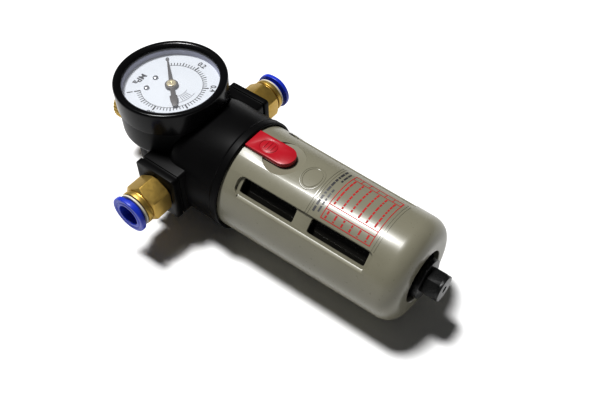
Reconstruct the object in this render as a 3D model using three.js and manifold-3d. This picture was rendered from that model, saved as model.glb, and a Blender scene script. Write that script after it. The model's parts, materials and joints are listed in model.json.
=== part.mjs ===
// Compressed-air filter regulator with 1/4 inch ports, lying on its mounting face.
// A black body carries two push-in tube fittings on its ports, a round pressure gauge on its front,
// a small spring-loaded regulator at its back end and a filter bowl in a slotted guard at its front end.
// Frame in millimetres: +X runs along the bowl's axis to the drain, the ports point to -Y and +Y,
// the gauge faces +Z, and z = 0 is the surface that the rear pad rests on.
import * as THREE from "three";
import { mergeVertices } from "three/addons/utils/BufferGeometryUtils.js";
import Module from "manifold-3d";

const wasm = await Module();
wasm.setup();

// ---------------------------------------------------------------- driving dimensions
const AXIS_HEIGHT = 22.6; // bowl and port axes above the resting surface
const GAP = 0.3; // clearance between pieces that touch or seal
const ROUND = 24; // facets of a large round
const SMALL_ROUND = 12; // facets of a small round

// Body, measured from the port axis along X
const HEAD = { back: -4, front: 24.3, radius: 22.3, shoulder: 9 };
const CORE = { back: -21, halfWidth: 13, front: 10.2 };
const ARM = { halfX: 9.2, halfY: 27, halfZ: 10, corner: 1.6 };
const PAD = { back: -20, front: 10, halfWidth: 12 };
const PORT = { radius: 6.4, depth: 16.5 };
const CHAMBER = { back: 9.8, radius: 17.6 };
const BAYONET = { grooveBack: 14.6, ledgeBack: 17.7, ledgeFront: 19.9, radius: 21.3, ledgeRadius: 19.4 };
const BAYONET_LUGS = 4;

// Guard and bowl
const GUARD = {
  back: 14.8, step: 20.2, front: 98.3, rootRadius: 21, tipRadius: 19.75, wall: 2, corner: 6.8,
};
const GUARD_NECK = { outer: 19, inner: 16.6 };
const GUARD_HOLE = 10;
const RECESS = { back: 29.5, front: 85.5, angle: 48.75, halfHeight: 4.2, floor: 19.85, corner: 3 };
const WINDOWS = [
  [31.2, 54.2],
  [60.4, 83.6],
];
const WINDOW = { angle: 46.9, halfHeight: 2.75, corner: 1 };
const BOWL = { rim: 12.4, outer: 16.2, wall: 2, flange: 17.25, end: 93, boss: 9.4, bossEnd: 95.6 };

// Latch on the guard
const LATCH = { tongue: 22.4, back: 24.7, front: 43.2, halfWidth: 4.35, top: 21.7, travel: 3 };
const LATCH_NECK = { back: 28.7, front: 38.2, halfWidth: 2.6 };
const LATCH_STOP = 47.2; // back face of the rib that the latch spring pushes against
const DISH = { x: 38.8, radius: 7.7, floor: 19.5 };

// Gauge, on its own axis parallel to Z
const GAUGE_X = -14.4;
const WELL_FLOOR = 7; // the body and the bonnet are flat here, under the gauge
const CASE = { back: 7.3, top: 26, radius: 20.6, wall: 1.4, corner: 3 };
const BEZEL = { bottom: 19.4, top: 28.7, radius: 21.25, opening: 18.1, lip: 1.2 };
const DIAL = { z: 23.5, thickness: 0.5, radius: 18.9 };
const POINTER = { angle: 140, tip: 14.6, tail: 11.6, z: 24.9, thickness: 0.3 };
const DIAL_SCREWS = [
  [-7.9, -0.5],
  [-6.6, -6.5],
];

// Regulator end
const BONNET = { back: -35, radius: 8.2, bore: 6.2, flange: 3, screwY: 10.4, screwZ: 4.2 };
const KNOB = { back: -45, front: -39.6, radius: 7.6, flutes: 18 };
const PISTON = { back: -24.8, front: -22.4 };

// Push-in fitting, measured outwards from the port face
const FITTING = { hexEnd: 8.8, hexFlats: 14, ringEnd: 11.2, ringRadius: 6.9, bore: 5.6, tubeBore: 4.2 };
const COLLAR = { back: 9.4, flange: 13.5, end: 15.3, radius: 7.5, sleeve: 5.2 };

// ---------------------------------------------------------------- materials
const material = (color, roughness, metalness = 0) =>
  new THREE.MeshStandardMaterial({ color, roughness, metalness });

const BLACK = material(0x17181a, 0.45);
const GUARD_GREY = material(0xa5a291, 0.35);
const LATCH_RED = material(0xcf2238, 0.35);
const BRASS = material(0xb8923f, 0.32, 1);
const STEEL = material(0xa9abb0, 0.3, 1);
const BLUE = material(0x2f50d6, 0.35);
const RUBBER = material(0x141414, 0.8);
const WHITE = material(0xf2f3f5, 0.5);
const CLEAR = material(0xcfd4d2, 0.1);
const BRONZE = material(0x6f5536, 0.8, 0.6);
const POINTER_GREY = material(0x3b3633, 0.5);
const PALE = material(0xd8d4c8, 0.35);

// ---------------------------------------------------------------- geometry helpers
// A closed geometry as a manifold-3d solid.
function solid(geometry) {
  const bare = geometry.clone();
  bare.deleteAttribute("normal");
  bare.deleteAttribute("uv");
  const merged = mergeVertices(bare, 1e-4);
  return new wasm.Manifold(
    new wasm.Mesh({
      numProp: 3,
      vertProperties: merged.attributes.position.array,
      triVerts: new Uint32Array(merged.index.array),
    }),
  );
}

// A manifold-3d solid as a three.js geometry.
function surface(made) {
  const mesh = made.getMesh();
  const geometry = new THREE.BufferGeometry();
  geometry.setAttribute("position", new THREE.BufferAttribute(mesh.vertProperties, 3));
  geometry.setIndex(new THREE.BufferAttribute(mesh.triVerts, 1));
  return geometry;
}

const join = (...geometries) => surface(geometries.map(solid).reduce((a, b) => a.add(b)));

const cut = (from, ...tools) => surface(tools.map(solid).reduce((a, b) => a.subtract(b), solid(from)));

// Points of an arc in a turned profile: centre (x, r), radius, and start and end angle in degrees.
function arc(x, r, radius, from, to, steps = 6) {
  return Array.from({ length: steps + 1 }, (_, i) => {
    const angle = THREE.MathUtils.degToRad(from + ((to - from) * i) / steps);
    return [x + radius * Math.cos(angle), r + radius * Math.sin(angle)];
  });
}

// A solid turned about the X axis from a closed profile of [x, radius] points.
function turned(profile, facets = ROUND) {
  const area = profile.reduce((sum, [x, r], i) => {
    const [nextX, nextR] = profile[(i + 1) % profile.length];
    return sum + x * nextR - nextX * r;
  }, 0);
  const ordered = area > 0 ? [...profile].reverse() : profile;
  const points = ordered.map(([x, r]) => new THREE.Vector2(r, x));
  const onAxis = ordered.findIndex(([, r], i) => r === 0 && ordered.at(i - 1)[1] === 0);
  const start = Math.max(onAxis, 0);
  const loop = [...points.slice(start), ...points.slice(0, start)];
  if (onAxis < 0) loop.push(loop[0].clone());
  return new THREE.LatheGeometry(loop, facets).rotateZ(-Math.PI / 2);
}

// A plain cylinder along X.
const rod = (from, to, radius, facets = SMALL_ROUND) =>
  turned([[from, 0], [to, 0], [to, radius], [from, radius]], facets);

// A ring along X with a rectangular section.
const sleeve = (from, to, inner, outer, facets = SMALL_ROUND) =>
  turned([[from, inner], [to, inner], [to, outer], [from, outer]], facets);

// An O-ring about the X axis.
const oRing = (x, radius, thickness) => turned(arc(x, radius, thickness, 0, 300, 5), 16);

const box = (x0, x1, y0, y1, z0, z1) =>
  new THREE.BoxGeometry(x1 - x0, y1 - y0, z1 - z0).translate((x0 + x1) / 2, (y0 + y1) / 2, (z0 + z1) / 2);

// A rectangle with rounded corners, centred at (x, y).
function roundedRectangle(x, y, halfX, halfY, corner) {
  const shape = new THREE.Shape();
  shape.moveTo(x - halfX + corner, y - halfY);
  shape.absarc(x + halfX - corner, y - halfY + corner, corner, -Math.PI / 2, 0);
  shape.absarc(x + halfX - corner, y + halfY - corner, corner, 0, Math.PI / 2);
  shape.absarc(x - halfX + corner, y + halfY - corner, corner, Math.PI / 2, Math.PI);
  shape.absarc(x - halfX + corner, y - halfY + corner, corner, Math.PI, 1.5 * Math.PI);
  return shape;
}

// A regular polygon with flats of the given width across.
function polygon(sides, acrossFlats, turn = 0) {
  const radius = acrossFlats / 2 / Math.cos(Math.PI / sides);
  const corners = Array.from({ length: sides }, (_, i) => {
    const angle = turn + ((i + 0.5) * 2 * Math.PI) / sides;
    return new THREE.Vector2(radius * Math.cos(angle), radius * Math.sin(angle));
  });
  return new THREE.Shape(corners);
}

// A shape drawn in (x, y) as a solid from z0 to z1.
const plate = (shape, z0, z1, curveSegments = 4) =>
  new THREE.ExtrudeGeometry(shape, { depth: z1 - z0, bevelEnabled: false, curveSegments })
    .translate(0, 0, z0);

// A shape drawn in (y, z) as a solid from x0 to x1.
const bar = (shape, x0, x1, curveSegments = 4) =>
  plate(shape, x0, x1, curveSegments).rotateZ(Math.PI / 2).rotateY(Math.PI / 2);

// A coil spring along X, with a round wire and flat-lying end turns.
function coil(from, to, radius, wire, turns, perTurn = 10) {
  class Helix extends THREE.Curve {
    getPoint(t, target = new THREE.Vector3()) {
      const angle = 2 * Math.PI * turns * t;
      const x = THREE.MathUtils.lerp(from + wire, to - wire, THREE.MathUtils.smoothstep(t, -0.2, 1.2));
      return target.set(x, radius * Math.cos(angle), radius * Math.sin(angle));
    }
  }
  const section = new THREE.Shape();
  section.absarc(0, 0, wire, 0, 2 * Math.PI);
  const steps = Math.round(turns * perTurn);
  return new THREE.ExtrudeGeometry(section, {
    steps,
    extrudePath: new Helix(),
    curveSegments: 2,
    bevelEnabled: false,
  });
}

// ---------------------------------------------------------------- the object
const regulator = new THREE.Group();
const onAxis = new THREE.Group();
onAxis.position.z = AXIS_HEIGHT;
regulator.add(onAxis);

function add(name, geometry, finish, parent = onAxis) {
  const mesh = new THREE.Mesh(geometry, finish);
  mesh.name = name;
  parent.add(mesh);
}

// ---------------------------------------------------------------- body
// Head, port arms, core and rear pad in one casting, bored for the air's path.
function bodySolid() {
  const shoulder = arc(HEAD.back + HEAD.shoulder, HEAD.radius - HEAD.shoulder, HEAD.shoulder, 90, 180, 5);
  const rim = [[HEAD.front, 0], [HEAD.front, HEAD.radius - 0.5], [HEAD.front - 0.5, HEAD.radius]];
  const head = turned([...rim, ...shoulder, [HEAD.back, 0]]);
  const armSection = roundedRectangle(0, 0, ARM.halfX, ARM.halfZ, ARM.corner);
  const arms = plate(armSection, -ARM.halfY, ARM.halfY).rotateX(Math.PI / 2);
  const core = box(CORE.back, 2, -CORE.halfWidth, CORE.halfWidth, -CORE.halfWidth, CORE.front);
  const pad = box(PAD.back, PAD.front, -PAD.halfWidth, PAD.halfWidth, -AXIS_HEIGHT, -2);
  return join(head, arms, core, pad);
}

// The gaps through which the guard's lugs enter the bayonet groove.
function bayonetGaps() {
  const sector = new THREE.Shape();
  const half = THREE.MathUtils.degToRad(20);
  sector.absarc(0, 0, BAYONET.radius, -half, half);
  sector.absarc(0, 0, CHAMBER.radius, half, -half, true);
  return Array.from({ length: BAYONET_LUGS }, (_, i) => {
    const turn = ((i + 0.5) * 2 * Math.PI) / BAYONET_LUGS;
    return bar(sector, BAYONET.ledgeBack - 0.5, BAYONET.ledgeFront + 0.5, 5).rotateX(turn);
  });
}

// Round well that the gauge case sits in, wider round the bezel.
function gaugeWell() {
  const [narrow, wide] = [CASE.radius + GAP, BEZEL.radius + 2 * GAP];
  const step = BEZEL.bottom - 2;
  const outline = [
    [WELL_FLOOR, 0], [40, 0], [40, wide], [step, wide], [step, narrow], [WELL_FLOOR, narrow],
  ];
  return turned(outline, 48)
    .rotateY(-Math.PI / 2)
    .translate(GAUGE_X, 0, 0);
}

function bodyBores() {
  const alongY = (from, to, radius, x) => rod(from, to, radius).rotateZ(Math.PI / 2).translate(x, 0, 0);
  const gaugePort = rod(3, 11, 4.9).rotateY(-Math.PI / 2).translate(GAUGE_X, 0, 0);
  return [
    gaugeWell(),
    gaugePort,
    rod(GAUGE_X, -5, 1.2, 12).translate(0, 0, 4.4), // gauge passage to the outlet chamber
    alongY(-ARM.halfY - 1, -ARM.halfY + PORT.depth, PORT.radius, 0), // inlet port
    rod(0, CHAMBER.back + 1, 2.6, 16).translate(0, -11.6, 0), // inlet passage to the bowl
    alongY(14, ARM.halfY + 1, PORT.radius, 0), // outlet port
    alongY(0, 15, 3, -3), // outlet passage
    rod(CORE.back - 1, -6, 1.5, 16), // valve stem guide
    rod(-6.5, 0.2, 6), // outlet chamber
    rod(0, 3.4, 3), // valve orifice
    rod(3.2, 7, 5.4), // valve chamber
    rod(6.7, CHAMBER.back + 1, 7.3), // valve guide thread
    rod(CHAMBER.back, BAYONET.grooveBack + 1, CHAMBER.radius, ROUND),
    rod(BAYONET.grooveBack, BAYONET.ledgeBack, BAYONET.radius, ROUND),
    rod(BAYONET.ledgeBack - 1, BAYONET.ledgeFront + 1, BAYONET.ledgeRadius, ROUND),
    rod(BAYONET.ledgeFront, HEAD.front + 1, BAYONET.radius + 0.1, ROUND),
    ...bayonetGaps(),
  ];
}

function bonnetScrewHoles() {
  return bonnetScrewPlaces().map(([y, z]) => rod(CORE.back - 1, CORE.back + 7, 1.6, 12).translate(0, y, z));
}

const bonnetScrewPlaces = () =>
  [1, -1].flatMap((y) => [1, -1].map((z) => [y * BONNET.screwY, z * BONNET.screwZ]));

add("body", cut(bodySolid(), ...bodyBores(), ...bonnetScrewHoles()), BLACK);

// ---------------------------------------------------------------- bonnet and its adjuster
function bonnet() {
  const flangeFront = CORE.back - GAP;
  const outline = roundedRectangle(0, -2, CORE.halfWidth, CORE.front, 2.5);
  const flange = bar(outline, flangeFront - BONNET.flange, flangeFront);
  const rounded = arc(BONNET.back + 2, BONNET.radius - 2, 2, 90, 180, 3);
  const barrel = turned([[flangeFront, 0], [flangeFront, BONNET.radius], ...rounded, [BONNET.back, 0]], 24);
  const bore = rod(BONNET.back + 2.2, 0, BONNET.bore, 24);
  const thread = rod(BONNET.back - 1, BONNET.back + 3, 2.7);
  const holes = bonnetScrewPlaces().map(([y, z]) => rod(-40, 0, 1.7, 12).translate(0, y, z));
  const heads = bonnetScrewPlaces().map(([y, z]) =>
    rod(-40, flangeFront - BONNET.flange, 2.3, 16).translate(0, y, z));
  return cut(join(flange, barrel), gaugeWell(), bore, thread, ...holes, ...heads);
}

// A pan-head screw that clamps the bonnet, with its head towards -X.
function bonnetScrew() {
  const head = CORE.back - GAP - BONNET.flange - GAP;
  const outline = [
    [head - 1.8, 0], [head - 1.8, 1.3], [head - 1.2, 2], [head, 2], [head, 1.3], [-15.5, 1.3], [-15.5, 0],
  ];
  const slot = box(head - 2.5, head - 1.1, -3, 3, -0.3, 0.3);
  return cut(turned(outline, 12), slot);
}

add("bonnet", bonnet(), BLACK);
bonnetScrewPlaces().forEach(([y, z], i) =>
  add(`bonnet_screw_${i + 1}`, bonnetScrew().translate(0, y, z), STEEL));

// Round brass knob with fluted grip, on the end of the adjusting screw.
function adjustingKnob() {
  const bevel = 0.8;
  const outline = [
    [KNOB.front, 2.4], [KNOB.front, KNOB.radius - bevel], [KNOB.front - bevel, KNOB.radius],
    [KNOB.back + bevel, KNOB.radius], [KNOB.back, KNOB.radius - bevel], [KNOB.back, 2.4],
  ];
  const flutes = Array.from({ length: KNOB.flutes }, (_, i) =>
    rod(KNOB.back - 1, KNOB.front + 1, 0.5, 6)
      .translate(0, KNOB.radius + 0.15, 0)
      .rotateX((i * 2 * Math.PI) / KNOB.flutes));
  return cut(turned(outline, KNOB.flutes), ...flutes);
}

add("adjusting_knob", adjustingKnob(), BRASS);
add("lock_nut", cut(bar(polygon(6, 11), -37.6, BONNET.back - GAP), rod(-40, -30, 2.7)), BRASS);
add(
  "adjusting_screw",
  cut(rod(KNOB.back - 0.4, -32.8, 2), box(-46, -44.4, -3, 3, -0.4, 0.4)),
  STEEL,
);
add("spring_seat", turned([[-32.5, 0], [-31.4, 0], [-31.4, 5.7], [-32.5, 5.7]], 20), BRASS);
add("main_spring", coil(-31, PISTON.back - GAP, 4.3, 0.7, 3.5), STEEL);

// ---------------------------------------------------------------- piston and valve
function piston() {
  const groove = 4.9;
  const middle = (PISTON.back + PISTON.front) / 2;
  return turned([
    [PISTON.front, 0], [PISTON.front, 5.9], [middle + 0.8, 5.9], [middle + 0.8, groove],
    [middle - 0.8, groove], [middle - 0.8, 5.9], [PISTON.back, 5.9], [PISTON.back, 0],
  ], 20);
}

// Long pin with a cup that backs the valve's rubber disc.
function valveStem() {
  return turned([
    [-22, 0], [-22, 1.2], [5.3, 1.2], [5.3, 4.2], [6.3, 4.2], [6.3, 1.4], [10.5, 1.4], [10.5, 0],
  ], SMALL_ROUND);
}

add("piston", piston(), BRASS);
add("piston_seal", oRing((PISTON.back + PISTON.front) / 2, 5.55, 0.45), RUBBER);
add("valve_stem", valveStem(), BRASS);
add("valve_disc", sleeve(3.7, 5, 1.5, 4.2), RUBBER);
add("valve_spring", coil(6.6, 11.7, 3, 0.35, 4, 8), STEEL);

function valveGuide() {
  const outline = [
    [7.2, 4.7], [7.2, 7], [10.1, 7], [10.1, 8.8], [12, 8.8],
    [12, 6], [13.4, 6], [13.4, 0], [12, 0], [12, 4.7],
  ];
  const vents = Array.from({ length: 4 }, (_, i) =>
    rod(11, 15, 0.8, 8).translate(0, 2.9, 0).rotateX((i * Math.PI) / 2));
  return cut(turned(outline, 20), ...vents);
}

add("valve_guide", valveGuide(), BRASS);

// ---------------------------------------------------------------- filter inside the bowl
// Disc with slanted vanes that spins the incoming air against the bowl.
function deflector() {
  const disc = turned([[13.7, 2.1], [13.7, 12.6], [15.2, 12.6], [15.2, 5.5], [18.4, 5.5], [18.4, 2.1]], 24);
  const vanes = Array.from({ length: 8 }, (_, i) =>
    box(15, 18.4, -0.5, 0.5, 5, 12.4).rotateX((i * Math.PI) / 4));
  return join(disc, ...vanes);
}

add("deflector", deflector(), BLACK);
add("element_stud", rod(13.7, 62, 1.8, 12), STEEL);
add("filter_element", sleeve(18.7, 50, 6, 9.5, 24), BRONZE);
add(
  "element_baffle",
  turned([[50.3, 2.1], [50.3, 12.2], [51.4, 12.8], [52.2, 12.2], [53, 5], [57, 4], [57, 2.1]], 24),
  BLACK,
);

function bowl() {
  const inner = BOWL.outer - BOWL.wall;
  const outerCorner = arc(BOWL.end - 6, BOWL.outer - 6.2, 6, 90, 0, 4);
  const innerCorner = arc(BOWL.end - 6, inner - 5.2, 4.4, 0, 90, 3);
  return turned([
    [BOWL.rim, inner], [BOWL.rim, BOWL.flange], [BOWL.rim + 2.1, BOWL.flange], [BOWL.rim + 2.1, BOWL.outer],
    ...outerCorner, [BOWL.end, BOWL.boss], [BOWL.bossEnd, BOWL.boss], [BOWL.bossEnd, 4.2],
    [BOWL.end - 1.6, 4.2], ...innerCorner,
  ]);
}

add("bowl", bowl(), CLEAR);
add("bowl_seal", oRing(11.1, 15.9, 0.95), RUBBER);

// ---------------------------------------------------------------- guard
function guardShell() {
  const { back, step, front, rootRadius, tipRadius, wall, corner } = GUARD;
  const innerCorner = corner - wall;
  const lip = front - wall;
  return turned([
    [back, GUARD_NECK.inner], [back, GUARD_NECK.outer], [step, GUARD_NECK.outer],
    [step, rootRadius - 0.4], [step + 0.4, rootRadius],
    ...arc(front - corner, tipRadius - corner, corner, 90, 0, 4),
    [front, GUARD_HOLE + 0.5], [front - 0.5, GUARD_HOLE], [lip, GUARD_HOLE],
    ...arc(lip - innerCorner, tipRadius - wall - innerCorner, innerCorner, 0, 90, 3),
    [step + 4, rootRadius - wall], [step + 1, GUARD_NECK.inner],
  ]);
}

function guardLugs() {
  const sector = new THREE.Shape();
  const half = THREE.MathUtils.degToRad(14);
  sector.absarc(0, 0, 20.9, -half, half);
  sector.absarc(0, 0, GUARD_NECK.outer - 0.8, half, -half, true);
  return Array.from({ length: BAYONET_LUGS }, (_, i) =>
    bar(sector, GUARD.back + 0.2, BAYONET.ledgeBack - GAP, 4).rotateX((i * 2 * Math.PI) / BAYONET_LUGS));
}

// Shallow recess with two through windows, on both flanks.
function guardWindows() {
  const middle = (RECESS.back + RECESS.front) / 2;
  const length = RECESS.front - RECESS.back;
  const outline = roundedRectangle(middle, 0, length / 2, RECESS.halfHeight, RECESS.corner);
  const recess = plate(outline, RECESS.floor, 30);
  const openings = WINDOWS.map(([back, front]) => {
    const { halfHeight, corner } = WINDOW;
    return plate(roundedRectangle((back + front) / 2, 0, (front - back) / 2, halfHeight, corner), 12, 30);
  });
  const turnedTo = (piece, angle) => piece.clone().rotateX(THREE.MathUtils.degToRad(angle));
  return [1, -1].flatMap((side) => [
    turnedTo(recess, side * RECESS.angle),
    ...openings.map((piece) => turnedTo(piece, side * WINDOW.angle)),
  ]);
}

// Outline of the latch's grip, square at the back and round at the front.
function latchOutline(back, front, halfWidth) {
  const shape = new THREE.Shape();
  shape.moveTo(back, halfWidth);
  shape.lineTo(back, -halfWidth);
  shape.absarc(front - halfWidth, 0, halfWidth, -Math.PI / 2, Math.PI / 2);
  return shape;
}

function guardCuts() {
  const { back, front, halfWidth } = LATCH_NECK;
  const side = LATCH.halfWidth + GAP;
  const slot = box(back - GAP, front + LATCH.travel + GAP, -halfWidth - GAP, halfWidth + GAP, 15, 30);
  const pocket = box(LATCH.tongue - GAP, DISH.x, -side, side, DISH.floor, 30);
  const dish = new THREE.Shape().absarc(DISH.x, 0, DISH.radius, 0, 2 * Math.PI);
  return [...guardWindows(), slot, pocket, plate(dish, DISH.floor, 30, 12)];
}

const latchStop = box(LATCH_STOP, LATCH_STOP + 1.2, -2, 2, 16.7, 19.5);

add("bowl_guard", join(cut(join(guardShell(), ...guardLugs()), ...guardCuts()), latchStop), GUARD_GREY);

// Slide button: grip plate, tongue under the body's rim, and a foot that keeps it in its slot.
function latchButton() {
  const { tongue, back, front, halfWidth, top } = LATCH;
  const under = DISH.floor + GAP;
  const grip = plate(latchOutline(back, front, halfWidth), under, top, 5);
  const tip = box(tongue, back + 1, -3.5, 3.5, under, 20.7);
  const foot = box(back + 3, front - 3, -5.2, 5.2, 16.9, 17.5);
  const neck = box(LATCH_NECK.back, LATCH_NECK.front, -LATCH_NECK.halfWidth, LATCH_NECK.halfWidth, 17.3, 20);
  const ridges = [29, 32, 35].map((x) => box(x, x + 0.8, -2.8, 2.8, top - 0.5, top + 0.3));
  return join(grip, tip, foot, neck, ...ridges);
}

add("latch_button", latchButton(), LATCH_RED);
add("latch_spring", coil(40.6, LATCH_STOP - GAP, 0.6, 0.18, 4, 6).translate(0, 0, 17.1), STEEL);

// ---------------------------------------------------------------- drain
function drainKnob() {
  const back = 100.5;
  const front = 106.6;
  const hex = bar(polygon(6, 9.5, 0), back, front - 1);
  const disc = rod(front - 1.3, front, 4.9);
  return cut(join(hex, disc), rod(back - 1, front + 1, 1.3, 12));
}

add(
  "drain_body",
  turned([
    [88.6, 1.3], [88.6, 6.2], [91, 6.2], [91, 3.9], [97.5, 3.9], [97.5, 7], [98.2, 7.6], [100.2, 7.6],
    [100.2, 1.3],
  ], 20),
  BLACK,
);
add("drain_seal", oRing(96.55, 5.8, 0.6), RUBBER);
add("drain_knob", drainKnob(), BLACK);

// ---------------------------------------------------------------- gauge
const gauge = new THREE.Group();
gauge.position.x = GAUGE_X;
onAxis.add(gauge);

// A solid turned about the gauge's axis from [z, radius] points.
const turnedUp = (profile, facets = ROUND) => turned(profile, facets).rotateY(-Math.PI / 2);

function gaugeCase() {
  const { back, top, radius, wall, corner } = CASE;
  return turnedUp([
    [back, 5], ...arc(back + corner, radius - corner, corner, 180, 90, 3), [top, radius],
    [top, radius - wall], [DIAL.z - GAP, radius - wall], [DIAL.z - GAP, radius - wall - 0.8],
    ...arc(back + wall + 2, radius - wall - 2.8, 2, 90, 180, 2), [back + wall, 5],
  ]);
}

function gaugeBezel() {
  const { bottom, top, radius, opening, lip } = BEZEL;
  return turnedUp([
    [bottom, CASE.radius + GAP], [bottom, radius], ...arc(top - 0.9, radius - 0.9, 0.9, 90, 0, 2),
    [top, opening + 0.4], [top - 0.4, opening], [top - lip, opening], [top - lip, CASE.radius + GAP],
  ]);
}

// Tapered needle with a long tail, turned with the spindle that carries it.
function gaugePointer() {
  const shape = new THREE.Shape();
  shape.moveTo(POINTER.tip, -0.25);
  shape.lineTo(POINTER.tip, 0.25);
  shape.lineTo(1.5, 0.75);
  shape.lineTo(-POINTER.tail + 1.4, 1);
  shape.absarc(-POINTER.tail + 1.4, 0, 1.4, Math.PI / 2, 1.5 * Math.PI);
  shape.lineTo(1.5, -0.75);
  const needle = plate(shape, POINTER.z, POINTER.z + POINTER.thickness);
  const hubOutline = [[22.4, 0], [22.4, 0.7], [24.4, 0.7], [24.4, 2.4], [25.2, 2.4], [25.2, 0]];
  const hub = turnedUp(hubOutline, SMALL_ROUND);
  return join(needle, hub).rotateZ(THREE.MathUtils.degToRad(POINTER.angle));
}

function gaugeDial() {
  const disc = turnedUp([
    [DIAL.z, 1.1], [DIAL.z, DIAL.radius],
    [DIAL.z + DIAL.thickness, DIAL.radius], [DIAL.z + DIAL.thickness, 1.1],
  ]);
  const holes = DIAL_SCREWS.map(([x, y]) => plate(polygon(6, 1.4), 20, 30).translate(x, y, 0));
  return cut(disc, ...holes);
}

// C-shaped pressure tube, flattened, that uncurls as the pressure rises.
function bourdonTube() {
  class Bow extends THREE.Curve {
    getPoint(t, target = new THREE.Vector3()) {
      const angle = THREE.MathUtils.degToRad(-60 + 250 * t);
      return target.set(13.5 * Math.cos(angle), 13.5 * Math.sin(angle), 17.8);
    }
  }
  const section = new THREE.Shape().absellipse(0, 0, 2.2, 0.8, 0, 2 * Math.PI);
  return new THREE.ExtrudeGeometry(section, { steps: 16, extrudePath: new Bow(), curveSegments: 3 });
}

function dialScrew([x, y]) {
  const head = DIAL.z + DIAL.thickness + GAP;
  const outline = [[21.8, 0], [21.8, 0.5], [head, 0.5], [head, 1.1], [head + 0.25, 1], [head + 0.25, 0]];
  return turnedUp(outline, 12).translate(x, y, 0);
}

add("gauge_case", gaugeCase(), BLACK, gauge);
add("gauge_bezel", gaugeBezel(), BLACK, gauge);
add("gauge_lens", turnedUp([[26.3, 0], [26.3, 20.5], [27.2, 20.5], [27.2, 0]]), CLEAR, gauge);
add("gauge_dial", gaugeDial(), WHITE, gauge);
add("gauge_pointer", gaugePointer(), POINTER_GREY, gauge);
add("pointer_cap", turnedUp([[25.5, 0], [25.5, 1.4], [25.8, 1.4], [26, 1], [26, 0]], 20), BRASS, gauge);
DIAL_SCREWS.forEach((place, i) => add(`dial_screw_${i + 1}`, dialScrew(place), STEEL, gauge));
add("bourdon_tube", bourdonTube(), BRASS, gauge);
const movementHub = turnedUp([[20, 0], [20, 1.6], [22.1, 1.6], [22.1, 0]], 16);
add("gauge_movement", join(box(-9, 3, -7.6, 4, 18.2, 21.4), movementHub), BRASS, gauge);
add(
  "gauge_socket",
  cut(
    join(turnedUp([[3.6, 0], [3.6, 4.6], [13, 4.6], [13, 0]], 28), box(-5, 5, -5, 5, 9, 15.4)),
    turnedUp([[2, 0], [2, 1.2], [14, 1.2], [14, 0]], 12),
  ),
  BRASS,
  gauge,
);

// ---------------------------------------------------------------- push-in fittings
// Each fitting is drawn along +X from the port face and turned to its side of the body.
function fittingBody() {
  const { hexEnd, hexFlats, ringEnd, ringRadius, bore, tubeBore } = FITTING;
  const corner = hexFlats / 2 / Math.cos(Math.PI / 6);
  const chamfered = turned([
    [GAP, 0], [GAP, corner], [hexEnd - 0.8, corner], [hexEnd, corner - 1.1], [hexEnd, 0],
  ], 24);
  const prism = bar(polygon(6, hexFlats, Math.PI / 6), GAP, hexEnd);
  const hex = surface(solid(prism).intersect(solid(chamfered)));
  const thread = rod(-9, 1, PORT.radius - GAP);
  const ring = turned([
    [hexEnd - 1, 0], [hexEnd - 1, 6.3], [hexEnd + 0.7, 6.3], [hexEnd + 0.7, ringRadius],
    [ringEnd, ringRadius], [ringEnd, 0],
  ], 24);
  return cut(
    join(hex, thread, ring),
    rod(-10, 20, 3), rod(-1.5, 20, tubeBore), rod(1.6, 3.7, 5.5), rod(4.2, 20, bore),
  );
}

// Spring-steel claws that grip the tube.
function collet() {
  const slots = [0, 1].map((i) => box(3, 7.8, -0.5, 0.5, -8, 8).rotateX((i * Math.PI) / 2));
  return cut(sleeve(5.5, 9, 4.3, 5.2), ...slots);
}

function releaseCollar() {
  const { back, flange, end, radius, sleeve: sleeveRadius } = COLLAR;
  return turned([
    [back, 4.3], [back, sleeveRadius], [flange, sleeveRadius],
    [flange, radius - 0.5], [flange + 0.5, radius],
    [end - 0.6, radius], [end, radius - 0.7], [end, 4.3],
  ], 24);
}

function addFitting(side, turn, y) {
  const fitting = new THREE.Group();
  fitting.rotation.z = turn;
  fitting.position.y = y;
  onAxis.add(fitting);
  add(`fitting_body_${side}`, fittingBody(), BRASS, fitting);
  add(`tube_seal_${side}`, sleeve(1.9, 3.4, 4.25, 5.2), RUBBER, fitting);
  add(`collet_${side}`, collet(), STEEL, fitting);
  const ring = sleeve(FITTING.ringEnd + GAP, FITTING.ringEnd + 1.1, 5.6, 6.7);
  add(`retaining_ring_${side}`, ring, PALE, fitting);
  add(`release_collar_${side}`, releaseCollar(), BLUE, fitting);
}

addFitting("left", -Math.PI / 2, -ARM.halfY);
addFitting("right", Math.PI / 2, ARM.halfY);

export default regulator;
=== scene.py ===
import json
import math
import random

import bmesh
import bpy
from mathutils import Matrix, Vector


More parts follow.
